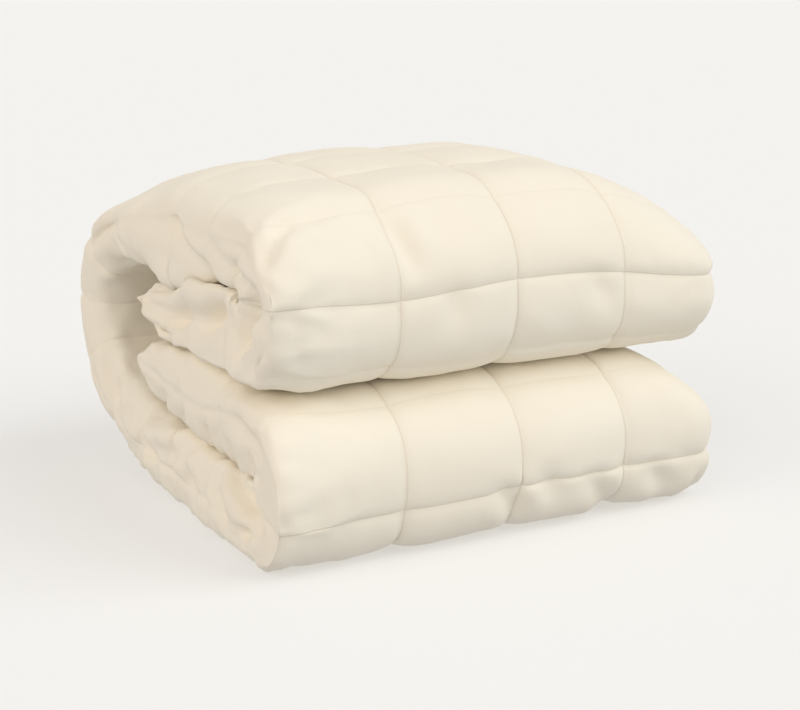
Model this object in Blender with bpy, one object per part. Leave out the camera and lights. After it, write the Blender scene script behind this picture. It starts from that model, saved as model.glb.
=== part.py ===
"""A weighted blanket, quilted in cells and folded into a thick bundle, with its front folds tucked inside.

Metres, +Z up. +X runs along the front folds, +Y to the back fold. The blanket is one filled solid: a centre
line bends through the folds in the YZ plane, and the two quilted faces lie off it on either side.
"""

import math
from collections import namedtuple

import bmesh
import bpy
import numpy as np

# The cells of the quilting.
COLUMNS = 4
COLUMN_PITCH = 0.106
SIDE_COLUMN = 0.111  # the two outer columns bulge past their seams
ROW_PITCH = 0.081
TUCKED_ROW = 0.062  # the row under the upper front seam, squeezed by the weight above
SLACK_ROW = 0.096  # the row over the lower front fold, which nothing squeezes
UPPER_SEAM_TURN = 88.0  # where the seams on the front folds lie, in degrees of turn from the upper inner end
LOWER_SEAM_TURN = 430.0

# The folded section, from the upper inner end to the lower one. Each stretch is an arc of its length and
# turn. The other columns hold what it has reached at its end: the depths of the outer and the inner face off
# the centre line, the widths of the rounded left and right sides, how far short the right side stops, and
# how deep the quilting is there, as a share.
Stretch = namedtuple("Stretch", "name length turn outer inner left right short relief")
SECTION = (
    Stretch("upper inner end", 0.050, 0.0, 0.0225, 0.0205, 0.022, 0.026, 0.010, 0.8),
    Stretch("upper tuck", 0.148, 0.0, 0.0350, 0.0385, 0.022, 0.032, 0.005, 0.75),
    Stretch("upper front fold, underside", 0.031, 45.0, 0.0495, 0.0355, 0.024, 0.034, 0.000, 0.75),
    Stretch("upper front fold, face", 0.032, 45.0, 0.0405, 0.0355, 0.026, 0.036, 0.000, 0.75),
    Stretch("upper front fold, shoulder", 0.030, 43.0, 0.0355, 0.0365, 0.034, 0.075, 0.006, 0.75),
    Stretch("upper front fold, top", 0.030, 43.0, 0.0390, 0.0375, 0.058, 0.100, 0.014, 0.75),
    Stretch("top layer, front", 0.130, 6.0, 0.0440, 0.0495, 0.095, 0.105, 0.016, 0.75),
    Stretch("top layer, back", 0.157, 20.0, 0.0390, 0.0375, 0.104, 0.095, 0.010, 0.75),
    Stretch("back fold, upper half", 0.105, 68.0, 0.0345, 0.0325, 0.080, 0.070, 0.006, 0.75),
    Stretch("back fold, lower half", 0.080, 60.0, 0.0343, 0.0343, 0.034, 0.042, 0.004, 0.85),
    Stretch("bottom layer, back", 0.165, 30.0, 0.0355, 0.0375, 0.022, 0.034, 0.004, 1.0),
    Stretch("bottom layer, front", 0.160, 0.0, 0.0355, 0.0295, 0.020, 0.032, 0.004, 1.0),
    Stretch("lower front fold, underside", 0.025, 45.0, 0.0435, 0.0295, 0.020, 0.034, 0.000, 1.0),
    Stretch("lower front fold, face", 0.025, 45.0, 0.0375, 0.0295, 0.022, 0.038, 0.006, 1.0),
    Stretch("lower front fold, top", 0.047, 86.0, 0.0367, 0.0297, 0.028, 0.085, 0.032, 0.9),
    Stretch("lower tuck, front", 0.110, -2.0, 0.0385, 0.0355, 0.028, 0.070, 0.038, 0.8),
    Stretch("lower tuck, back", 0.090, 0.0, 0.0245, 0.0265, 0.024, 0.036, 0.030, 0.8),
    Stretch("lower inner end", 0.025, -4.0, 0.0195, 0.0215, 0.022, 0.030, 0.030, 0.8),
)
START = (0.050, 0.172)  # y and z of the upper inner end
START_HEADING = 0.0  # degrees above straight forward
START_VALUES = (0.0165, 0.0145, 0.022, 0.026, 0.010, 0.8)

# How the faces are sewn and drawn in.
SEAM_DEPTH = 0.008  # of the stitched valleys below the crown of a cell
PUFF_POWER = 0.62  # under 1 gives round cells with a sharp valley
SIDE_POWER = 2.4  # over 2 gives fuller sides than a quarter round
INNER_ROUND = 0.024  # length of the rounded inner ends
SIDE_SCALLOP = 0.006  # how far a row's seam draws the side in
SAG_START = 0.070  # how far right of the middle the right end starts to give way
SAG_HEIGHT = 0.170  # the right end sags above it
RIGHT_SAG = 0.27  # share of the height above it that the right end loses
FLOOR_SINK = 0.0035  # how much of the lowest crowns is pressed flat

# How finely the solid is faceted.
ROW_STEPS = (0.15, 0.38, 0.62, 0.85, 1.0)  # from one row seam to the next, closer beside the seams
COLUMN_STEPS = (0.17, 0.5, 0.83, 1.0)
SIDE_STEPS = (0.0, 0.035, 0.13, 0.28, 0.52, 0.83)  # over a side column from its edge, closer at the round
FINE_STEP = 0.001

CREAM = (0.900, 0.850, 0.740, 1.0)


def smooth(t):
    return t * t * (3.0 - 2.0 * t)


def trace_section():
    """The centre line in fine steps: each one's distance along, place, heading and section values."""
    table = []
    y, z = START
    heading = math.radians(START_HEADING)
    along = 0.0
    before = np.array(START_VALUES)
    for stretch in SECTION:
        after = np.array(stretch[3:])
        steps = round(stretch.length / FINE_STEP)
        bend = math.radians(stretch.turn) / steps
        for step in range(steps):
            table.append((along, y, z, heading, *(before + (after - before) * smooth(step / steps))))
            middle = heading + bend / 2.0
            y -= math.cos(middle) * FINE_STEP
            z += math.sin(middle) * FINE_STEP
            heading += bend
            along += FINE_STEP
        before = after
    table.append((along, y, z, heading, *before))
    return np.array(table).T


ALONG, LINE_Y, LINE_Z, HEADING, OUTER, INNER, LEFT, RIGHT, SHORT, RELIEF = trace_section()
LENGTH = ALONG[-1]
FOLDED = HEADING.argmax()  # the fine step past which the line turns no further
HALF_WIDTH = (COLUMNS / 2.0 - 1.0) * COLUMN_PITCH + SIDE_COLUMN


def outer_face_length():
    """The length of the outer face up to each fine step: its cloth takes the long way round a fold."""
    bend = np.gradient(HEADING, ALONG)
    speed = 1.0 + np.maximum(bend, 0.0) * OUTER
    return np.concatenate([[0.0], np.cumsum((speed[1:] + speed[:-1]) / 2.0 * FINE_STEP)])


def row_seams():
    """The places of the row seams along the centre line. The outer face spaces them evenly round the back."""
    cloth = outer_face_length()
    turns = np.radians([UPPER_SEAM_TURN + START_HEADING, LOWER_SEAM_TURN + START_HEADING])
    upper, lower = np.interp(turns, HEADING[:FOLDED], cloth[:FOLDED])
    before = np.arange(upper - TUCKED_ROW, ROW_PITCH * 0.3, -ROW_PITCH)[::-1]
    between = np.linspace(upper, lower, round((lower - upper) / ROW_PITCH) + 1)
    after = np.arange(lower + SLACK_ROW, cloth[-1] - ROW_PITCH * 0.3, ROW_PITCH)
    return np.interp(np.concatenate([before, between, after]), cloth, ALONG)


def spaced(stops, steps):
    """Places that split each gap between the stops in these shares."""
    places = [stops[0]]
    for low, high in zip(stops[:-1], stops[1:]):
        places.extend(low + (high - low) * share for share in steps)
    return np.array(places)


def puff(place, seams):
    """0 on a seam and 1 half way to the next one, for places between the first and the last seam."""
    index = np.clip(np.searchsorted(seams, place, side="right") - 1, 0, len(seams) - 2)
    t = (place - seams[index]) / (seams[index + 1] - seams[index])
    return np.clip(np.sin(np.pi * np.clip(t, 0.0, 1.0)), 0.0, 1.0) ** PUFF_POWER


def rounded(distance, length, power=2.0):
    """A quarter round that rises from 0 at the edge to 1 at that length in."""
    t = np.clip(distance / length, 0.0, 1.0)
    return np.clip(1.0 - (1.0 - t) ** power, 0.0, 1.0) ** (1.0 / power)


def grid():
    """The places of the points along the centre line and across it, and of the seams each way."""
    rows = row_seams()
    side = np.array(SIDE_STEPS)
    first = side * min(INNER_ROUND, rows[0] * 0.8)
    last = LENGTH - side[::-1] * min(INNER_ROUND, (LENGTH - rows[-1]) * 0.8)
    along = np.concatenate([first, spaced(rows, ROW_STEPS), last])
    inner_seams = (np.arange(COLUMNS - 1) - COLUMNS / 2.0 + 1.0) * COLUMN_PITCH
    beyond = inner_seams[-1:] + 2.0 * SIDE_COLUMN  # a side column keeps its crown up to its edge
    columns = np.concatenate([-beyond, inner_seams, beyond])
    middle = spaced(inner_seams, COLUMN_STEPS)
    left = -HALF_WIDTH + side * SIDE_COLUMN
    right = HALF_WIDTH - side[::-1] * SIDE_COLUMN
    across = np.concatenate([left, middle, right])
    return along, across, np.concatenate([[0.0], rows, [LENGTH]]), columns


def right_end(x):
    """A share that rises from 0 where the right end starts to give way to 1 at its edge."""
    return smooth(np.clip((x - SAG_START) / (HALF_WIDTH - SAG_START), 0.0, 1.0))


def faces_of_blanket():
    """The points of the outer and the inner face, as arrays over the grid."""
    along, across, rows, columns = grid()
    s, x = np.meshgrid(along, across, indexing="ij")
    lines = (LINE_Y, LINE_Z, HEADING, OUTER, INNER, LEFT, RIGHT, SHORT, RELIEF)
    y, z, heading, outer, inner, left, right, short, relief = (np.interp(s, ALONG, line) for line in lines)
    crown = puff(s, rows) * puff(x, columns)
    edge = rounded(HALF_WIDTH + x, left, SIDE_POWER) * rounded(HALF_WIDTH - x, right, SIDE_POWER)
    edge = edge * rounded(s, INNER_ROUND) * rounded(LENGTH - s, INNER_ROUND)
    valley = SEAM_DEPTH * relief * (1.0 - crown) * edge
    drawn = SIDE_SCALLOP * (1.0 - puff(s, rows)) * (np.abs(x) / HALF_WIDTH) ** 6
    outward = np.stack([np.zeros_like(s), -np.sin(heading), -np.cos(heading)], -1)
    middle = np.stack([x - np.sign(x) * drawn - short * right_end(x), y, z], -1)
    outer_face = middle + outward * (outer * edge - valley)[..., None]
    inner_face = middle - outward * (inner * edge - valley)[..., None]
    return outer_face, inner_face


def rest_on_floor(*faces):
    """Lowers the blanket a little into the floor, presses what is below flat and lets the right end sag."""
    lowest = min(face[..., 2].min() for face in faces)
    for face in faces:
        height = np.maximum(face[..., 2] - lowest - FLOOR_SINK, 0.0)
        face[..., 2] = height - RIGHT_SAG * right_end(face[..., 0]) * np.maximum(height - SAG_HEIGHT, 0.0)


def centre(*faces):
    """Moves the faces so that the box they fill is centred on the origin in X and Y."""
    points = np.concatenate([face.reshape(-1, 3) for face in faces])
    middle = (points.min(axis=0) + points.max(axis=0)) / 2.0
    for face in faces:
        face[..., :2] -= middle[:2]


def build_mesh(outer_face, inner_face):
    """One closed mesh: the two faces share the points of their edges."""
    mesh = bmesh.new()
    rows, columns = outer_face.shape[:2]
    outer = [[mesh.verts.new(point) for point in row] for row in outer_face]
    inner = [list(row) for row in outer]
    for i in range(1, rows - 1):
        for j in range(1, columns - 1):
            inner[i][j] = mesh.verts.new(inner_face[i, j])
    for i in range(rows - 1):
        for j in range(columns - 1):
            for face, turned in ((outer, True), (inner, False)):
                corners = [face[i][j], face[i + 1][j], face[i + 1][j + 1], face[i][j + 1]]
                mesh.faces.new(corners[::-1] if turned else corners)
    bmesh.ops.triangulate(mesh, faces=mesh.faces)
    return mesh


def cotton():
    material = bpy.data.materials.new("cream cotton")
    material.use_nodes = True
    shader = material.node_tree.nodes["Principled BSDF"]
    shader.inputs["Base Color"].default_value = CREAM
    shader.inputs["Roughness"].default_value = 0.85
    shader.inputs["Metallic"].default_value = 0.0
    return material


def add_quilt():
    outer_face, inner_face = faces_of_blanket()
    rest_on_floor(outer_face, inner_face)
    centre(outer_face, inner_face)
    mesh = build_mesh(outer_face, inner_face)
    data = bpy.data.meshes.new("quilt")
    mesh.to_mesh(data)
    mesh.free()
    data.materials.append(cotton())
    data.shade_smooth()
    quilt = bpy.data.objects.new("quilt", data)
    bpy.context.scene.collection.objects.link(quilt)
    return quilt


for old in list(bpy.data.objects):
    bpy.data.objects.remove(old)
add_quilt()
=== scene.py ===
"""The looks of a folded weighted blanket: cream cotton, puffed in cells between its quilting seams.

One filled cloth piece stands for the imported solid. It follows the same folded section on a finer grid, and
adds the stitched grooves, the gathers beside them, the creases and the uneven filling. Metres, +Z up: +X runs
along the front folds, +Y to the back fold.
"""

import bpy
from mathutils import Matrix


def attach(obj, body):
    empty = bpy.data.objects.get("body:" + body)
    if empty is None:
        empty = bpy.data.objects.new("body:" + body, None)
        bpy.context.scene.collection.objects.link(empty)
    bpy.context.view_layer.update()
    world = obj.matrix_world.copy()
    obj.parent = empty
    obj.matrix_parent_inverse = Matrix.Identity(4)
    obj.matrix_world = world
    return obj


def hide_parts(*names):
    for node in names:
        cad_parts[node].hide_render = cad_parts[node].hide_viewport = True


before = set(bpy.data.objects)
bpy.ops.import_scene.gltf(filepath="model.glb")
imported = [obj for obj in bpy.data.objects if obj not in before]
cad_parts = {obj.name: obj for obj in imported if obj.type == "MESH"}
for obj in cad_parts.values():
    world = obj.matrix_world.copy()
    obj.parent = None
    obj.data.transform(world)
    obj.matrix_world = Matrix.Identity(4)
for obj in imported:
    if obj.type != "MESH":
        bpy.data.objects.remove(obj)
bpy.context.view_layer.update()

import math
from collections import namedtuple

import bpy
import numpy as np
from mathutils import Vector, noise


# ------------------------------------------------------------------------------------------------------------
# Sizes of the blanket

# The cells of the quilting, as in the solid.
COLUMNS = 4
COLUMN_PITCH = 0.106
SIDE_COLUMN = 0.111
ROW_PITCH = 0.081
TUCKED_ROW = 0.062  # the row just before the upper front fold's seam
SLACK_ROW = 0.096  # the row just past the lower front fold's seam
UPPER_SEAM_TURN = 88.0  # degrees that the cloth has turned at the seam on each front fold
LOWER_SEAM_TURN = 430.0
LEAST_FIRST_ROW = 0.4  # of a row's pitch: less than that beside an inner end is no row of its own
LEAST_LAST_ROW = 0.3

# The folded section, from the upper inner end to the lower one: the solid's, a little fuller under the upper
# bundle and in the tucks, and rounded otherwise at the left end. Each stretch is an arc of that length that
# turns by those degrees. Then comes what it reaches at its far end: how deep the outer and the inner face lie
# from mid thickness; how far in from the left edge each of them rounds over, and both from the right edge;
# how far the right end stops short; how much of the quilting's relief the rows and the columns keep; and
# where the left side's seam lies, as a share of the outer face's depth.
Stretch = namedtuple(
    "Stretch",
    "name length turn outer inner left left_inner right short row_relief column_relief left_seam",
)
SECTION = [Stretch(*values) for values in (
    ("upper inner end", 0.050, 0.0, 0.0300, 0.0205, 0.022, 0.014, 0.026, 0.010, 0.4, 0.4, 0.75),
    ("upper tuck", 0.148, 0.0, 0.0355, 0.0385, 0.090, 0.015, 0.032, 0.005, 0.35, 0.45, 0.6),
    ("upper front fold, underside", 0.031, 45.0, 0.0545, 0.0355, 0.110, 0.026, 0.034, 0.000, 0.35, 0.5, 0.62),
    ("upper front fold, face", 0.032, 45.0, 0.0405, 0.0355, 0.026, 0.028, 0.036, 0.000, 0.18, 0.36, 0.9),
    ("upper front fold, shoulder", 0.030, 43.0, 0.0355, 0.0365, 0.034, 0.030, 0.075, 0.006, 0.15, 0.3, 0.3),
    ("upper front fold, top", 0.030, 43.0, 0.0390, 0.0375, 0.058, 0.032, 0.100, 0.014, 0.2, 0.36, 0.0),
    ("top layer, front", 0.130, 6.0, 0.0440, 0.0495, 0.110, 0.022, 0.105, 0.016, 0.22, 0.38, 0.0),
    ("top layer, back", 0.157, 20.0, 0.0390, 0.0375, 0.150, 0.034, 0.095, 0.010, 0.25, 0.38, 0.0),
    ("back fold, upper half", 0.105, 68.0, 0.0345, 0.0325, 0.080, 0.036, 0.070, 0.006, 0.3, 0.4, 0.15),
    ("back fold, lower half", 0.080, 60.0, 0.0343, 0.0343, 0.034, 0.028, 0.042, 0.004, 0.4, 0.5, 0.2),
    ("bottom layer, back", 0.165, 30.0, 0.0355, 0.0375, 0.022, 0.022, 0.034, 0.004, 0.6, 0.6, 0.0),
    ("bottom layer, front", 0.160, 0.0, 0.0355, 0.0295, 0.020, 0.020, 0.032, 0.004, 0.7, 0.7, 0.2),
    ("lower front fold, underside", 0.025, 45.0, 0.0435, 0.0295, 0.020, 0.022, 0.034, 0.000, 0.6, 0.75, 0.9),
    ("lower front fold, face", 0.025, 45.0, 0.0375, 0.0295, 0.022, 0.024, 0.038, 0.006, 0.25, 0.36, 0.92),
    ("lower front fold, top", 0.047, 86.0, 0.0385, 0.0297, 0.028, 0.026, 0.085, 0.032, 0.2, 0.34, 0.5),
    ("lower tuck, front", 0.110, -2.0, 0.0400, 0.0355, 0.028, 0.024, 0.070, 0.038, 0.25, 0.4, 0.0),
    ("lower tuck, back", 0.090, 0.0, 0.0245, 0.0265, 0.018, 0.016, 0.036, 0.030, 0.3, 0.4, 0.0),
    ("lower inner end", 0.025, -4.0, 0.0195, 0.0215, 0.014, 0.012, 0.030, 0.030, 0.3, 0.3, 0.0),
)]
SHAPE_FIELDS = Stretch._fields[3:]
START = (0.050, 0.172)  # y and z of the upper inner end
START_SHAPE = (0.0235, 0.0145, 0.014, 0.012, 0.026, 0.010, 0.4, 0.4, 0.6)  # its shape, as in a stretch
FINE_STEP = 0.001

# The edges: two sides, and two inner ends.
SIDE_POWER = 2.4  # how squarely the sides round over, where 2 is a round quarter
INNER_ROUND = 0.024
SIDE_SCALLOP = 0.006  # how far a row's seam draws the sides in
SCALLOP_POWER = 6
SIDE_NOTCH = 0.0014  # the pressed line where the two faces are sewn together
SIDE_NOTCH_WIDTH = 0.004
NOTCH_REACH = 0.8  # of the half width, where the notch starts
SEAM_END = 0.02  # from each inner end: there the left side's seam comes back to mid thickness

# How the bundle lies.
FLOOR_SINK = 0.0035  # how deep the lowest crowns are pressed flat
SAG_HEIGHT = 0.170  # only what is higher sags
RIGHT_SAG = 0.27  # share of the height above that, lost at the right end
RIGHT_SAG_START = 0.070
LEFT_SAG = 0.075
LEFT_SAG_START = 0.020

# The quilting relief: a broad soft valley, with a narrow stitched groove at its bottom.
BROAD_SHARE = 0.40  # of a cell's height that rises slowly to its middle, rather than beside its seams
VALLEY_WIDTH = 0.0075
SEAM_DEPTH = 0.0085
GROOVE_DEPTH = 0.0016
GROOVE_WIDTH = 0.0016
INNER_GROOVE = 0.5  # share of the groove's depth on the inner face
CRISP_ROWS = (4, 18)  # the seams on the two front folds, counted from the upper inner end, are pulled tight
FAINT_ROW = 0.35  # share of the groove's depth along the other rows
UNEVEN_CELLS = 0.22  # share by which one cell's crown may differ
MOST_ROWS = 64  # more than there are, so that every cell has its draw
OUTER_CELLS_SEED, INNER_CELLS_SEED = 21, 22
LEFT_QUIET = 0.6  # share of the relief that is lost at the left end
QUIET_REACH = (0.12, 0.19)  # from the middle, where the loss starts and where it is full
SEAM_WANDER = 0.0018  # how far a seam strays from its straight line
WANDER_SIZES = (0.07, 0.10)
STEADY_END = 0.03  # from each inner end: there the seams don't stray

# The uneven filling.
LUMP_HEIGHT, LUMP_SIZE = 0.0014, 0.050
FINE_LUMP_HEIGHT, FINE_LUMP_SIZE = 0.0005, 0.020
LUMP_EDGE = (0.0, 0.6)  # of the rise from an edge, over which the lumps set in

# The gathers: along the quilting seams, and along the side seams. The steps set one seam's noise apart from
# the next one's, and one face's from the other's.
GATHER_PITCH = 0.011
GATHER_HEIGHT = 0.0004
SIDE_EXTRA = 0.0012  # how much higher the rows' gathers are near the sides
SIDE_REACH = (0.12, 0.20)  # from the middle
GATHER_WIDTH = 0.006
GATHER_STEPS = (7.3, 3.1)
EDGE_GATHER_PITCH = 0.024
EDGE_GATHER_HEIGHT = 0.0024
EDGE_GATHER_WIDTH = 0.012
EDGE_GATHER_STEPS = (5.0, 2.3)
EDGE_STITCH_DEPTH = 0.0010
EDGE_STITCH_WIDTH = 0.0030
EDGE_REACH = (0.75, 0.9)  # of the half width
EDGE_ENDS = (0.01, 0.05)  # from each inner end

# The random wrinkles at the left end.
CRUMPLE_HEIGHT = 0.0028
CRUMPLE_SIZE = (0.060, 0.034, 0.034)
FINE_CRUMPLE_SHARE = 0.35
FINE_CRUMPLE_SIZE = (0.030, 0.018, 0.018)
CRUMPLE_REACH = (0.13, 0.19)  # from the middle
CRUMPLE_EDGE = (0.0, 0.4)  # of the rise from an edge
RIDGE_SHARPNESS = 2.2
RIDGE_FOOT = 0.4
SMOOTH_STRETCH = (0.36, 0.80)  # the top layer and round the back fold, where the cloth is pulled smooth
SMOOTH_FADE = 0.06
SMOOTH_SHARE = 0.8
FACETING_SHARE = 0.3  # how far the points are drawn to their neighbours before the creases are pressed in

# How finely the piece is faceted.
ROW_LINES = 18
COLUMN_LINES = 22
ROUND_LINES = 14
SIDE_LINES = 14
END_ROUND_LINES = 8
END_LINES = 8
CROWDING = 0.5  # how much closer the lines lie beside a seam
EDGE_CROWDING = 1.5  # a power: above 1, the lines lie closer at the very edge

NOISE_GAIN = 1.6  # brings the noise to about -1 to 1
NOISE_SPREAD = 50.0  # how far a seed may shift it
TINY = 1e-12


def smooth(t):
    return t * t * (3.0 - 2.0 * t)


def fade(value, low, high):
    """0 below low, 1 above high, and smooth between them."""
    return smooth(np.clip((value - low) / (high - low), 0.0, 1.0))


# ------------------------------------------------------------------------------------------------------------
# The folded section

Traced = namedtuple("Traced", ("along", "y", "z", "heading", *SHAPE_FIELDS))


def trace_section():
    """The centre line in fine steps: for each, its distance along, place, heading and the section's shape."""
    table = []
    y, z = START
    heading = along = 0.0
    before = np.array(START_SHAPE)
    for stretch in SECTION:
        after = np.array([getattr(stretch, field) for field in SHAPE_FIELDS])
        steps = round(stretch.length / FINE_STEP)
        bend = math.radians(stretch.turn) / steps
        for step in range(steps):
            table.append((along, y, z, heading, *(before + (after - before) * smooth(step / steps))))
            middle = heading + bend / 2.0
            y -= math.cos(middle) * FINE_STEP
            z += math.sin(middle) * FINE_STEP
            heading += bend
            along += FINE_STEP
        before = after
    table.append((along, y, z, heading, *before))
    return Traced(*np.array(table).T)


LINE = trace_section()
LENGTH = LINE.along[-1]
FOLDED = LINE.heading.argmax()  # up to there the cloth only turns one way
HALF_WIDTH = (COLUMNS / 2.0 - 1.0) * COLUMN_PITCH + SIDE_COLUMN


def outer_face_length():
    """The length of the outer face up to each fine step: its cloth takes the long way round a fold."""
    bend = np.gradient(LINE.heading, LINE.along)
    speed = 1.0 + np.maximum(bend, 0.0) * LINE.outer
    return np.concatenate([[0.0], np.cumsum((speed[1:] + speed[:-1]) / 2.0 * FINE_STEP)])


def row_seams():
    """The places of the row seams along the centre line.

    They are about evenly spaced on the outer face, apart from the tucked row and the slack row.
    """
    cloth = outer_face_length()
    turns = np.radians([UPPER_SEAM_TURN, LOWER_SEAM_TURN])
    upper, lower = np.interp(turns, LINE.heading[:FOLDED], cloth[:FOLDED])
    before = np.arange(upper - TUCKED_ROW, ROW_PITCH * LEAST_FIRST_ROW, -ROW_PITCH)[::-1]
    between = np.linspace(upper, lower, round((lower - upper) / ROW_PITCH) + 1)
    after = np.arange(lower + SLACK_ROW, cloth[-1] - ROW_PITCH * LEAST_LAST_ROW, ROW_PITCH)
    return np.interp(np.concatenate([before, between, after]), cloth, LINE.along)


def rounded(distance, length, power=2.0):
    """A quarter round that rises from 0 at the edge to 1 at that length in."""
    t = np.clip(distance / length, 0.0, 1.0)
    return np.clip(1.0 - (1.0 - t) ** power, 0.0, 1.0) ** (1.0 / power)


def off_ends(s, low, high):
    """0 up to low from either inner end, and 1 from high on."""
    return fade(s, low, high) * fade(LENGTH - s, low, high)


def puff(t, distance):
    """0 on the seams, where t is 0 or 1, then steep beside them and flat in the middle of a cell."""
    broad = np.clip(np.sin(np.pi * np.clip(t, 0.0, 1.0)), 0.0, 1.0)
    return BROAD_SHARE * broad + (1.0 - BROAD_SHARE) * (1.0 - np.exp(-distance / VALLEY_WIDTH))


def right_end(x):
    """A share that rises from 0 where the right end starts to give way to 1 at its edge."""
    return fade(x, RIGHT_SAG_START, HALF_WIDTH)


# ------------------------------------------------------------------------------------------------------------
# The fine grid


def crowded(lines):
    """Shares from 0 to 1 that lie closer together near both ends."""
    t = np.linspace(0.0, 1.0, lines + 1)
    return t - CROWDING * np.sin(2.0 * np.pi * t) / (2.0 * np.pi)


def from_edge(reach, round_width, round_lines, lines):
    """Distances from an edge to a seam: round the edge first, then evenly on to the seam at that reach."""
    turn = np.linspace(0.0, 1.0, round_lines + 1) ** EDGE_CROWDING * np.pi / 2.0
    t = np.linspace(0.0, 1.0, lines + 1)[1:]
    return np.concatenate([round_width * (1.0 - np.cos(turn)), round_width + (reach - round_width) * t])


def row_grid():
    """For each grid line along the blanket: its place, its row coordinate in cells, and its seam distance."""
    seams = row_seams()
    first = from_edge(seams[0], INNER_ROUND, END_ROUND_LINES, END_LINES)
    last = LENGTH - from_edge(LENGTH - seams[-1], INNER_ROUND, END_ROUND_LINES, END_LINES)[::-1]
    places, cells = [first], [first / seams[0]]
    for row, (low, high) in enumerate(zip(seams[:-1], seams[1:])):
        share = crowded(ROW_LINES)[1:]
        places.append(low + (high - low) * share)
        cells.append(row + 1.0 + share)
    places.append(last[1:])
    cells.append(len(seams) + (last[1:] - seams[-1]) / (LENGTH - seams[-1]))
    places, cells = np.concatenate(places), np.concatenate(cells)
    distance = np.abs(places[:, None] - seams[None, :]).min(axis=1)
    return places, cells, distance


def column_grid(left, right):
    """The same across the blanket. The lines near a side follow that side's rounded width at each place."""
    inner = (np.arange(COLUMNS - 1) - COLUMNS / 2.0 + 1.0) * COLUMN_PITCH
    middle = np.concatenate([low + COLUMN_PITCH * crowded(COLUMN_LINES)[1:] for low in inner[:-1]])
    lines = []
    for left_width, right_width in zip(left, right):
        start = -HALF_WIDTH + from_edge(SIDE_COLUMN, left_width, ROUND_LINES, SIDE_LINES)
        end = HALF_WIDTH - from_edge(SIDE_COLUMN, right_width, ROUND_LINES, SIDE_LINES)[::-1]
        lines.append(np.concatenate([start, middle, end[1:]]))
    x = np.array(lines)
    distance = np.abs(x[..., None] - inner).min(axis=-1)
    cells = np.interp(x, np.concatenate([[-HALF_WIDTH], inner, [HALF_WIDTH]]), np.arange(COLUMNS + 1.0))
    return x, cells, distance


# ------------------------------------------------------------------------------------------------------------
# Noise


def soft_noise(points, size, seed):
    """Smooth noise from about -1 to 1 at each point, in lumps of that size, which may differ by axis."""
    shift = np.random.default_rng(seed).uniform(-NOISE_SPREAD, NOISE_SPREAD, 3)
    scaled = np.asarray(points, float) / size + shift
    return np.fromiter((noise.noise(Vector(p)) for p in scaled), float, len(scaled)) * NOISE_GAIN


def grid_noise(s, x, size_along, size_across, seed):
    flat = np.stack([s.ravel() / size_along, x.ravel() / size_across, np.zeros(s.size)], -1)
    return soft_noise(flat, 1.0, seed).reshape(s.shape)


def gather_noise(along, seam, face, steps, seed):
    """Noise along a seam, of its own for each seam and face."""
    seam_step, face_step = steps
    return soft_noise(np.stack([along, seam * seam_step, face * face_step], -1), 1.0, seed)


# ------------------------------------------------------------------------------------------------------------
# The quilted cloth


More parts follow.
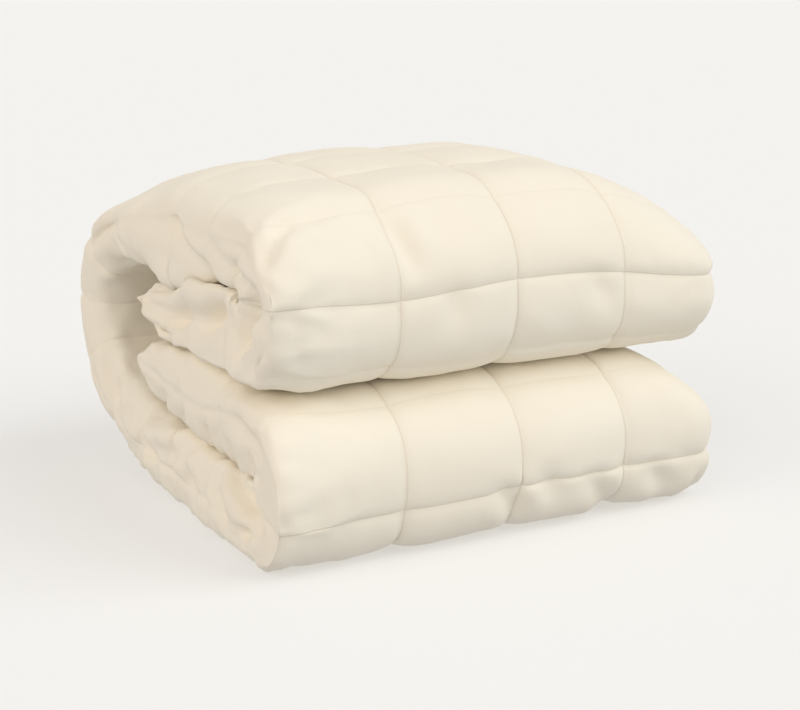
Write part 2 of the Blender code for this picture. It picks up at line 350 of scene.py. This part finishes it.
class Cloth:
    """The two faces over one grid, and then the closed mesh's points, with what is known of each of them."""

    POINT_VALUES = (
        "s", "x", "row_cell", "column_cell", "row_distance", "column_distance", "row_crisp", "free_seam"
    )

    def __init__(self):
        self.lay_out()
        self.shape_faces()
        self.join_faces()

    def lay_out(self):
        """The grid: where each point lies along and across the blanket, and in its cell."""
        places, row_cells, row_distance = row_grid()
        left, right = (np.interp(places, LINE.along, width) for width in (LINE.left_inner, LINE.right))
        self.x, self.column_cell, self.column_distance = column_grid(left, right)
        shape = self.x.shape
        self.s = np.broadcast_to(places[:, None], shape)
        self.row_cell = np.broadcast_to(row_cells[:, None], shape)
        self.row_distance = np.broadcast_to(row_distance[:, None], shape)
        self.row_puff = puff(self.row_cell % 1.0, self.row_distance)
        nearest = np.round(self.row_cell).astype(int)
        self.row_crisp = np.where(np.isin(nearest, CRISP_ROWS), 1.0, FAINT_ROW)
        inner = COLUMN_PITCH * (COLUMNS / 2.0 - 1.0)
        outside = np.clip((np.abs(self.x) - inner) / (2.0 * SIDE_COLUMN), 0.0, 0.5)
        share = np.where(np.abs(self.x) > inner, outside, self.column_cell % 1.0)
        self.column_puff = puff(share, self.column_distance)

    def shape_faces(self):
        """The outer and the inner face, with each point's distance from the side seam and its edge share."""
        s, x = self.s, self.x
        wander_s = SEAM_WANDER * grid_noise(s, x, *WANDER_SIZES, seed=11)
        wander_x = SEAM_WANDER * grid_noise(s, x, *WANDER_SIZES[::-1], seed=12)
        place = np.clip(s + wander_s * off_ends(s, 0.0, STEADY_END), 0.0, LENGTH)
        at = Traced(*(np.interp(place, LINE.along, values) for values in LINE))
        self.quiet = 1.0 - LEFT_QUIET * fade(-x, *QUIET_REACH)
        ends = rounded(s, INNER_ROUND) * rounded(LENGTH - s, INNER_ROUND)
        others = rounded(HALF_WIDTH - x, at.right, SIDE_POWER) * ends
        seam = at.left_seam * at.outer * (x < 0.0) * off_ends(s, 0.0, SEAM_END)
        outward = np.stack([np.zeros_like(s), -np.sin(at.heading), -np.cos(at.heading)], -1)
        self.faces, self.heights, self.edges = [], [], []
        for face, depth, width in ((1.0, at.outer, at.left), (-1.0, at.inner, at.left_inner)):
            edge = rounded(HALF_WIDTH + x, width, SIDE_POWER) * others
            offset = seam + (face * depth - seam) * edge - face * self.pressed(at, face) * edge
            height = np.hypot(HALF_WIDTH - np.abs(x), offset - seam)
            across = x + wander_x - np.sign(x) * self.drawn_in(at, height) - at.short * right_end(x)
            self.faces.append(np.stack([across, at.y, at.z], -1) + outward * offset[..., None])
            self.heights.append(height)
            self.edges.append(edge)
        self.free_seam = 1.0 - at.left_seam

    def pressed(self, at, face):
        """How deep the quilting presses into a face: its broad valleys, and the groove at their bottom."""
        valley = at.row_relief * (1.0 - self.row_puff) + at.column_relief * (1.0 - self.column_puff)
        valley = SEAM_DEPTH * (1.0 + UNEVEN_CELLS * self.cell_draws(face)) * valley * self.quiet
        groove = self.row_crisp * np.exp(-self.row_distance / GROOVE_WIDTH)
        groove = np.minimum(groove + np.exp(-self.column_distance / GROOVE_WIDTH), 1.0)
        return valley + GROOVE_DEPTH * (1.0 if face > 0 else INNER_GROOVE) * groove

    def cell_draws(self, face):
        """One seeded draw from -1 to 1 for each cell, on every point of that cell."""
        seed = OUTER_CELLS_SEED if face > 0 else INNER_CELLS_SEED
        draws = np.random.default_rng(seed).uniform(-1.0, 1.0, (MOST_ROWS, COLUMNS))
        column = np.clip(self.column_cell.astype(int), 0, COLUMNS - 1)
        return draws[self.row_cell.astype(int), column]

    def drawn_in(self, at, height):
        """How far the sides are drawn in: at the rows' seams, and along the side seam."""
        out = np.abs(self.x) / HALF_WIDTH
        scallop = SIDE_SCALLOP * self.quiet * (1.0 - self.row_puff) * out**SCALLOP_POWER
        notch = SIDE_NOTCH * np.exp(-((height / SIDE_NOTCH_WIDTH) ** 2)) * (1.0 - at.left_seam)
        return scallop + notch * (out > NOTCH_REACH)

    def join_faces(self):
        """One closed mesh: the two faces share the points of their edges."""
        rows, columns = self.s.shape
        inside = (rows - 2) * (columns - 2)
        outer = np.arange(rows * columns).reshape(rows, columns)
        inner = outer.copy()
        inner[1:-1, 1:-1] = outer.size + np.arange(inside).reshape(rows - 2, columns - 2)

        def both(outer_values, inner_values):
            kept = inner_values[1:-1, 1:-1].reshape(inside, -1)
            return np.concatenate([outer_values.reshape(outer.size, -1), kept])

        self.points = both(*self.faces)
        for name in self.POINT_VALUES:
            values = getattr(self, name)
            setattr(self, name + "_at", both(values, values)[:, 0])
        self.height_at = both(*self.heights)[:, 0]
        self.edge_at = both(*self.edges)[:, 0]
        self.face_at = both(np.ones_like(self.s), -np.ones_like(self.s))[:, 0]
        quads = []
        for face, turned in ((outer, True), (inner, False)):
            corners = [face[:-1, :-1], face[1:, :-1], face[1:, 1:], face[:-1, 1:]]
            quads.append(np.stack(corners[::-1] if turned else corners, -1).reshape(-1, 4))
        self.quads = np.concatenate(quads)

    def normals(self):
        a, b, c, d = (self.points[self.quads[:, k]] for k in range(4))
        face = np.cross(c - a, d - b)
        total = np.zeros_like(self.points)
        for k in range(4):
            np.add.at(total, self.quads[:, k], face)
        return total / np.maximum(np.linalg.norm(total, axis=1, keepdims=True), TINY)

    def push(self, amount):
        """Moves each point along its normal."""
        self.points += self.normals() * amount[:, None]

    def relax(self, share):
        """Softens the faceting: each point goes that share of the way to the middle of its neighbours."""
        total = np.zeros_like(self.points)
        count = np.zeros(len(self.points))
        for k in range(4):
            here, there = self.quads[:, k], self.quads[:, (k + 1) % 4]
            np.add.at(total, here, self.points[there])
            np.add.at(count, here, 1.0)
        self.points += (total / count[:, None] - self.points) * share


# ------------------------------------------------------------------------------------------------------------
# What handling and sewing do to the cloth


def ripple(distance, width):
    """A gather's height beside a seam: 0 on the seam, 1 at that distance, then dying out."""
    return distance / width * np.exp(1.0 - distance / width)


def add_lumps(cloth):
    """The beads lie unevenly in the cells."""
    cloth.push(LUMP_HEIGHT * soft_noise(cloth.points, LUMP_SIZE, seed=31) * fade(cloth.edge_at, *LUMP_EDGE))
    cloth.push(FINE_LUMP_HEIGHT * soft_noise(cloth.points, FINE_LUMP_SIZE, seed=32))


def add_gathers(cloth):
    """Small gathers across each stitched line, stronger towards the sides."""
    rows = np.round(cloth.row_cell_at)
    row_wave = gather_noise(cloth.x_at / GATHER_PITCH, rows, cloth.face_at, GATHER_STEPS, seed=41)
    row_height = GATHER_HEIGHT + SIDE_EXTRA * fade(np.abs(cloth.x_at), *SIDE_REACH)
    columns = np.round(cloth.column_cell_at)
    column_wave = gather_noise(cloth.s_at / GATHER_PITCH, columns, cloth.face_at, GATHER_STEPS, seed=42)
    across_rows = row_height * ripple(cloth.row_distance_at, GATHER_WIDTH) * row_wave
    across_columns = GATHER_HEIGHT * ripple(cloth.column_distance_at, GATHER_WIDTH) * column_wave
    cloth.push(across_rows + across_columns)


def wrinkled(cloth):
    """The share of the small wrinkles that is left: little where the cloth is pulled smooth."""
    start, stop = SMOOTH_STRETCH
    started = fade(cloth.s_at, start - SMOOTH_FADE, start)
    unfinished = fade(stop + SMOOTH_FADE - cloth.s_at, 0.0, SMOOTH_FADE)
    return 1.0 - SMOOTH_SHARE * started * unfinished


def add_edge_gathers(cloth):
    """Gathers along the side seams, on both faces, and the stitched line between them."""
    low, high = EDGE_REACH
    at_side = fade(np.abs(cloth.x_at), low * HALF_WIDTH, high * HALF_WIDTH)
    sides = np.sign(cloth.x_at)
    wave = gather_noise(cloth.s_at / EDGE_GATHER_PITCH, sides, cloth.face_at, EDGE_GATHER_STEPS, seed=51)
    gather = EDGE_GATHER_HEIGHT * ripple(cloth.height_at, EDGE_GATHER_WIDTH) * wave
    stitched = EDGE_STITCH_DEPTH * np.exp(-((cloth.height_at / EDGE_STITCH_WIDTH) ** 2))
    free = cloth.free_seam_at * off_ends(cloth.s_at, *EDGE_ENDS)
    cloth.push((gather - stitched) * at_side * free * wrinkled(cloth))


def ridges(wave):
    """Sharp ridges where the wave passes 0, on a ground a little below it."""
    return (1.0 - np.minimum(np.abs(wave) * RIDGE_SHARPNESS, 1.0)) ** 2 - RIDGE_FOOT


def add_crumples(cloth):
    """Sharp-edged random wrinkles at the left end, where the edge has been pushed about."""
    at_end = fade(-cloth.x_at, *CRUMPLE_REACH) * wrinkled(cloth) * fade(cloth.edge_at, *CRUMPLE_EDGE)
    large = ridges(soft_noise(cloth.points, CRUMPLE_SIZE, seed=61))
    small = ridges(soft_noise(cloth.points, FINE_CRUMPLE_SIZE, seed=62))
    cloth.push(CRUMPLE_HEIGHT * (large + FINE_CRUMPLE_SHARE * small) * at_end)


def rest_on_floor(cloth):
    """Lowers the blanket a little into the floor, presses flat what is below it and lets its ends sag."""
    points = cloth.points
    height = np.maximum(points[:, 2] - points[:, 2].min() - FLOOR_SINK, 0.0)
    lost = RIGHT_SAG * right_end(points[:, 0]) + LEFT_SAG * fade(-points[:, 0], LEFT_SAG_START, HALF_WIDTH)
    points[:, 2] = height - lost * np.maximum(height - SAG_HEIGHT, 0.0)
    middle = (points.min(axis=0) + points.max(axis=0)) / 2.0
    points[:, :2] -= middle[:2]


# ------------------------------------------------------------------------------------------------------------
# Creases
#
# Each runs from its start to its stop and dies out at both, with a depth and a width. A depth below 0 is a
# raised fold. On the left end they lie in y and z, on the top in x and y, and on the front in x and z.

LEFT_CREASES = (
    # the end of the top layer: swollen, and creased across
    ((0.066, 0.228), (-0.065, 0.210), -0.0120, 0.020),
    ((-0.067, 0.238), (-0.149, 0.218), -0.0080, 0.018),
    ((0.098, 0.231), (0.075, 0.211), 0.0050, 0.007),
    ((-0.024, 0.247), (-0.109, 0.218), 0.0060, 0.007),
    ((-0.100, 0.222), (-0.150, 0.212), 0.0050, 0.007),
    ((-0.115, 0.241), (-0.192, 0.221), 0.0040, 0.006),
    ((0.115, 0.232), (0.171, 0.205), 0.0060, 0.007),
    # across the upper tuck
    ((-0.054, 0.182), (-0.021, 0.164), 0.0070, 0.006),
    ((-0.120, 0.197), (-0.085, 0.172), 0.0070, 0.007),
    ((-0.143, 0.190), (-0.143, 0.160), 0.0060, 0.006),
    # the upper tuck swells up against the top layer
    ((0.012, 0.204), (-0.092, 0.203), -0.0110, 0.010),
    ((0.030, 0.178), (-0.096, 0.196), -0.0080, 0.009),
    ((-0.052, 0.210), (-0.136, 0.212), -0.0080, 0.012),
    ((-0.062, 0.194), (-0.130, 0.199), -0.0030, 0.013),
    # the pit inside the upper front fold
    ((-0.189, 0.211), (-0.160, 0.172), 0.0180, 0.010),
    ((-0.193, 0.187), (-0.180, 0.160), 0.0070, 0.006),
    # raised beside the upper tuck's creases
    ((-0.070, 0.190), (-0.050, 0.172), -0.0030, 0.008),
    ((-0.122, 0.190), (-0.115, 0.165), -0.0030, 0.008),
    # the upper tuck's inner end
    ((0.046, 0.165), (-0.017, 0.162), -0.0050, 0.005),
    ((0.038, 0.153), (-0.019, 0.151), 0.0060, 0.005),
    # across the lower tuck
    ((0.000, 0.102), (0.014, 0.086), 0.0050, 0.006),
    ((-0.036, 0.100), (-0.032, 0.078), 0.0050, 0.006),
    ((-0.088, 0.094), (-0.082, 0.072), 0.0055, 0.006),
    ((-0.133, 0.088), (-0.130, 0.062), 0.0055, 0.006),
    # inside the lower front fold
    ((-0.128, 0.062), (-0.192, 0.038), 0.0100, 0.007),
    ((-0.167, 0.092), (-0.183, 0.070), 0.0040, 0.006),
    ((-0.150, 0.114), (-0.190, 0.098), 0.0050, 0.008),
    # the bottom layer
    ((0.150, 0.100), (0.120, 0.060), 0.0050, 0.008),
    ((0.095, 0.044), (-0.021, 0.067), -0.0050, 0.008),
    ((-0.022, 0.040), (-0.068, 0.060), -0.0050, 0.007),
    ((0.060, 0.052), (0.030, 0.030), 0.0050, 0.007),
    ((-0.040, 0.058), (-0.060, 0.030), 0.0050, 0.007),
    ((-0.100, 0.052), (-0.128, 0.022), 0.0055, 0.007),
    ((-0.147, 0.019), (-0.185, 0.034), 0.0050, 0.006),
    # inside the back fold
    ((0.125, 0.190), (0.024, 0.196), 0.0050, 0.007),
    ((0.158, 0.160), (0.140, 0.167), 0.0050, 0.007),
)
TOP_CREASES = (
    ((-0.146, -0.178), (-0.190, -0.183), 0.0030, 0.006),
    ((-0.186, -0.182), (-0.213, -0.201), 0.0050, 0.006),
)
FRONT_CREASES = (
    # down the upper front fold
    ((-0.101, 0.266), (-0.095, 0.234), 0.0055, 0.009),
    # under the upper front fold's seam
    ((-0.060, 0.212), (-0.058, 0.186), 0.0028, 0.010),
    ((0.078, 0.207), (0.089, 0.186), 0.0028, 0.010),
    # under the lower front fold's seam
    ((-0.016, 0.044), (0.004, 0.022), 0.0045, 0.009),
    ((0.028, 0.050), (0.038, 0.028), 0.0035, 0.009),
    ((0.074, 0.038), (0.101, 0.010), 0.0045, 0.009),
    ((0.137, 0.037), (0.160, 0.016), 0.0045, 0.009),
    ((0.196, 0.022), (0.190, 0.006), 0.0050, 0.008),
)

# A side: the two axes that its creases lie in; the axis and the sign that it faces; how squarely the cloth
# has to face it and how far out it has to lie, both from no crease to a full one; and its creases.
Side = namedtuple("Side", "lies_in axis sign facing beyond creases")
SIDES = (
    Side([1, 2], 0, -1.0, (0.10, 0.45), (0.10, 0.16), LEFT_CREASES),
    Side([0, 1], 2, 1.0, (0.15, 0.45), (0.20, 0.23), TOP_CREASES),
    Side([0, 2], 1, -1.0, (0.10, 0.40), (0.13, 0.17), FRONT_CREASES),
)
CREASE_END = (-0.25, 0.3)  # of a crease's length, over which it dies out
BANK_HEIGHT = 0.45  # of the crease's depth
BANK_PLACE = 1.9  # in crease widths from its line


def add_creases(cloth):
    """Presses each crease into the cloth that faces its side, with the cloth pushed up a little beside it."""
    normals = cloth.normals()
    amount = np.zeros(len(normals))
    for side in SIDES:
        places = cloth.points[:, side.lies_in]
        weight = fade(side.sign * normals[:, side.axis], *side.facing)
        weight = weight * fade(side.sign * cloth.points[:, side.axis], *side.beyond)
        for start, stop, depth, width in side.creases:
            run = np.subtract(stop, start)
            share = np.clip((places - start) @ run / (run @ run), 0.0, 1.0)
            away = np.linalg.norm(places - start - share[:, None] * run, axis=1) / width
            profile = np.exp(-(away**2)) - BANK_HEIGHT * np.exp(-((away - BANK_PLACE) ** 2))
            dying = fade(share, *CREASE_END) * fade(1.0 - share, *CREASE_END)
            amount -= depth * profile * weight * dying
    cloth.push(amount)
    cloth.points[:, 2] = np.maximum(cloth.points[:, 2], 0.0)


# ------------------------------------------------------------------------------------------------------------
# Shader arithmetic

MIX_FACTOR, MIX_FIRST, MIX_SECOND, MIX_COLOUR = 0, 6, 7, 2  # a Mix node's sockets for colours, by number


class Signal:
    """A shader socket that takes part in arithmetic: each operation adds its Math node."""

    def __init__(self, finish, socket):
        self.finish = finish
        self.socket = socket

    def math(self, operation, *others):
        inputs = dict(enumerate((self, *others)))
        return self.finish.node("ShaderNodeMath", {"operation": operation}, inputs)

    def __add__(self, other):
        return self.math("ADD", other)

    __radd__ = __add__

    def __sub__(self, other):
        return self.math("SUBTRACT", other)

    def __rsub__(self, other):
        return self.finish.node("ShaderNodeMath", {"operation": "SUBTRACT"}, {0: other, 1: self})

    def __mul__(self, other):
        return self.math("MULTIPLY", other)

    __rmul__ = __mul__

    def __abs__(self):
        return self.math("ABSOLUTE")

    def ramp(self, low, high):
        """0 at low and 1 at high, smooth between them."""
        inputs = {"Value": self, "From Min": low, "From Max": high}
        return self.finish.node("ShaderNodeMapRange", {"interpolation_type": "SMOOTHSTEP"}, inputs)


class Finish:
    """A material in the making."""

    def __init__(self, name):
        self.material = bpy.data.materials.new(name)
        self.material.use_nodes = True
        self.tree = self.material.node_tree
        self.tree.nodes.clear()

    def node(self, kind, settings=None, inputs=None, output=0):
        """A node of that kind: its settings first, then the values or links of its sockets."""
        made = self.tree.nodes.new(kind)
        for name, value in (settings or {}).items():
            setattr(made, name, value)
        for name, value in (inputs or {}).items():
            if isinstance(value, Signal):
                self.tree.links.new(value.socket, made.inputs[name])
            else:
                made.inputs[name].default_value = value
        return Signal(self, made.outputs[output])

    def mix(self, factor, first, second):
        """The first colour where the factor is 0, and the second where it is 1."""
        settings = {"data_type": "RGBA", "blend_type": "MIX"}
        inputs = {MIX_FACTOR: factor, MIX_FIRST: first, MIX_SECOND: second}
        return self.node("ShaderNodeMix", settings, inputs, MIX_COLOUR)

    def surface(self, **looks):
        """The finished material: a Principled BSDF with those looks, whose names have _ for a space."""
        inputs = {name.replace("_", " "): value for name, value in looks.items()}
        shader = self.node("ShaderNodeBsdfPrincipled", inputs=inputs)
        output = self.tree.nodes.new("ShaderNodeOutputMaterial")
        self.tree.links.new(shader.socket, output.inputs["Surface"])
        return self.material


# ------------------------------------------------------------------------------------------------------------
# The cotton

CREAM = (0.905, 0.840, 0.705, 1.0)
PALE_CREAM = (0.915, 0.855, 0.725, 1.0)
# the tint of the thin darker lines along the seams, and of the painted shade on the rounded sides
SEAM_LINE_AND_RIM_SHADE_CREAM = (0.840, 0.735, 0.590, 1.0)
COTTON_ROUGHNESS = 0.88
CLOUD_SCALE, CLOUD_DETAIL = 9.0, 3.0  # the slow change between the two creams
CLOUD_FADE = (0.3, 0.7)
WEAVE_SCALE, WEAVE_DETAIL, WEAVE_HEIGHT = 900.0, 2.0, 0.00006
CREPE_SCALE, CREPE_DETAIL, CREPE_HEIGHT = 45.0, 4.0, 0.0009
STITCH_FADE = (0.0002, 0.0012)  # metres from the seams, from the full darker tint along them to none
STITCH_TINT = 0.55
STITCH_DEPTH = 0.0006
STITCHED_COLUMNS = (1.4, 1.6)  # cells from the middle: farther out no column is stitched
RIM = (1.85, 2.0)  # cells from the middle too: across them the rounded sides take painted shade, warmer and darker
# how far the rounded sides are tinted towards the warm cream: painted shade
RIM_SHADE_TINT = 0.2
BUMP_STRENGTH = 0.6


def cotton():
    finish = Finish("cream cotton")
    cells = finish.node("ShaderNodeUVMap", {"uv_map": "cells"})
    column = finish.node("ShaderNodeSeparateXYZ", inputs={"Vector": cells}, output="X")
    row = finish.node("ShaderNodeSeparateXYZ", inputs={"Vector": cells}, output="Y")
    place = finish.node("ShaderNodeTexCoord", output="Object")
    crisp = finish.node("ShaderNodeAttribute", {"attribute_name": "crisp"}, output="Fac")
    off_middle = abs(column - COLUMNS / 2.0)

    def stitches(coordinate, pitch):
        """1 on the seams of one direction, and 0 away from them."""
        to_seam = abs((coordinate + 0.5).math("FRACT") - 0.5) * pitch
        return 1.0 - to_seam.ramp(*STITCH_FADE)

    def clouds(scale, detail):
        return finish.node("ShaderNodeTexNoise", inputs={"Vector": place, "Scale": scale, "Detail": detail})

    column_stitches = stitches(column, COLUMN_PITCH) * (1.0 - off_middle.ramp(*STITCHED_COLUMNS))
    stitched = (stitches(row, ROW_PITCH) * crisp).math("MAXIMUM", column_stitches)
    # the darker seam lines, and painted warm shade along the rounded sides
    seam_lines_and_rim_shade = (stitched * STITCH_TINT).math("MAXIMUM", off_middle.ramp(*RIM) * RIM_SHADE_TINT)
    base = finish.mix(clouds(CLOUD_SCALE, CLOUD_DETAIL).ramp(*CLOUD_FADE), CREAM, PALE_CREAM)
    colour = finish.mix(seam_lines_and_rim_shade, base, SEAM_LINE_AND_RIM_SHADE_CREAM)

    weave = clouds(WEAVE_SCALE, WEAVE_DETAIL) * WEAVE_HEIGHT
    crepe = clouds(CREPE_SCALE, CREPE_DETAIL) * CREPE_HEIGHT
    relief = weave + crepe - stitched * STITCH_DEPTH
    bump = finish.node(
        "ShaderNodeBump", inputs={"Strength": BUMP_STRENGTH, "Distance": 1.0, "Height": relief}
    )
    return finish.surface(Base_Color=colour, Roughness=COTTON_ROUGHNESS, Normal=bump)


# ------------------------------------------------------------------------------------------------------------
# The piece


def cloth_mesh(cloth):
    mesh = bpy.data.meshes.new("quilt_cloth")
    mesh.from_pydata(cloth.points.tolist(), [], cloth.quads.tolist())
    cells = mesh.uv_layers.new(name="cells")
    at_points = np.stack([cloth.column_cell_at, cloth.row_cell_at], -1)
    cells.data.foreach_set("uv", at_points[cloth.quads.ravel()].ravel())
    crisp = mesh.attributes.new("crisp", "FLOAT", "POINT")
    crisp.data.foreach_set("value", cloth.row_crisp_at)
    mesh.shade_smooth()
    mesh.update()
    return mesh


def add_quilt():
    cloth = Cloth()
    add_lumps(cloth)
    add_gathers(cloth)
    add_edge_gathers(cloth)
    add_crumples(cloth)
    cloth.relax(FACETING_SHARE)
    rest_on_floor(cloth)
    add_creases(cloth)
    piece = bpy.data.objects.new("quilt_cloth", cloth_mesh(cloth))
    bpy.context.scene.collection.objects.link(piece)
    piece.data.materials.append(cotton())
    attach(piece, "root")
    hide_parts("quilt")


# ------------------------------------------------------------------------------------------------------------
# The studio

FLOOR_COLOUR = (0.56, 0.562, 0.56, 1.0)
FLOOR_GLOW_STRENGTH = 0.415
FLOOR_HALF = 60.0
BACKDROP_COLOUR = (0.0, 0.0, 0.0, 1.0)  # it only glows
BACKDROP_GLOW_STRENGTH = 1.0
BACKDROP_HEIGHT = 14.0
STAGE_GLOW = (0.905, 0.893, 0.855, 1.0)
STAGE_ROUGHNESS = 0.95

Sun = namedtuple("Sun", "name source strength colour spread")  # the spread in degrees, as of a large soft box
SUNS = (
    Sun("key", (0.57, -0.54, 0.64), 1.22, (0.985, 1.0, 1.0), 55.0),
    Sun("fill", (-0.85, -0.27, 0.46), 1.04, (1.0, 0.88, 0.78), 55.0),
)
WORLD_COLOUR = (1.0, 0.985, 0.99, 1.0)
WORLD_STRENGTH = 0.545

CAMERA_TARGET = (-0.0026, -0.0358, 0.1165)
CAMERA_DISTANCE = 1.4198
CAMERA_YAW = 30.0
CAMERA_PITCH = 13.25
FOCAL_PIXELS = 1588.0
PICTURE_WIDTH = 800.0  # in pixels
SENSOR = 36.0  # in millimetres


def add_stage_piece(name, points, faces, colour, glow):
    mesh = bpy.data.meshes.new(name)
    mesh.from_pydata(points, [], faces)
    mesh.materials.append(
        Finish(name).surface(
            Base_Color=colour,
            Roughness=STAGE_ROUGHNESS,
            Specular_IOR_Level=0.0,
            Emission_Color=STAGE_GLOW,
            Emission_Strength=glow,
        )
    )
    piece = bpy.data.objects.new(name, mesh)
    bpy.context.scene.collection.objects.link(piece)
    return piece


def add_floor():
    """A wide pale floor with a faint glow of its own, and far round it a glowing wall that hides the horizon.

    The floor throws no light back up, so that the undersides stay a little darker than the fronts.
    """
    low = [(x * FLOOR_HALF, y * FLOOR_HALF, 0.0) for x, y in ((-1, -1), (1, -1), (1, 1), (-1, 1))]
    high = [(x, y, BACKDROP_HEIGHT) for x, y, z in low]
    walls = [(k, (k + 1) % 4, (k + 1) % 4 + 4, k + 4) for k in range(4)]
    floor = add_stage_piece("floor", low, [(0, 1, 2, 3)], FLOOR_COLOUR, FLOOR_GLOW_STRENGTH)
    floor.visible_diffuse = False
    add_stage_piece("backdrop", low + high, walls, BACKDROP_COLOUR, BACKDROP_GLOW_STRENGTH)


def add_suns():
    for sun in SUNS:
        light = bpy.data.lights.new(sun.name, "SUN")
        light.energy = sun.strength
        light.color = sun.colour
        light.angle = math.radians(sun.spread)
        holder = bpy.data.objects.new(sun.name, light)
        holder.rotation_euler = Vector(sun.source).to_track_quat("Z", "Y").to_euler()
        bpy.context.scene.collection.objects.link(holder)


def add_world():
    world = bpy.data.worlds.new("studio")
    world.use_nodes = True
    background = world.node_tree.nodes["Background"]
    background.inputs["Color"].default_value = WORLD_COLOUR
    background.inputs["Strength"].default_value = WORLD_STRENGTH
    bpy.context.scene.world = world


def add_camera():
    yaw, pitch = math.radians(CAMERA_YAW), math.radians(CAMERA_PITCH)
    looking = Vector((math.sin(yaw) * math.cos(pitch), math.cos(yaw) * math.cos(pitch), -math.sin(pitch)))
    camera = bpy.data.cameras.new("camera")
    camera.sensor_width = SENSOR
    camera.lens = FOCAL_PIXELS / PICTURE_WIDTH * SENSOR
    holder = bpy.data.objects.new("camera", camera)
    holder.location = Vector(CAMERA_TARGET) - looking * CAMERA_DISTANCE
    holder.rotation_euler = looking.to_track_quat("-Z", "Y").to_euler()
    bpy.context.scene.collection.objects.link(holder)
    bpy.context.scene.camera = holder


add_camera()
add_suns()
add_world()
add_floor()
add_quilt()
bpy.context.scene.view_settings.view_transform = "Standard"
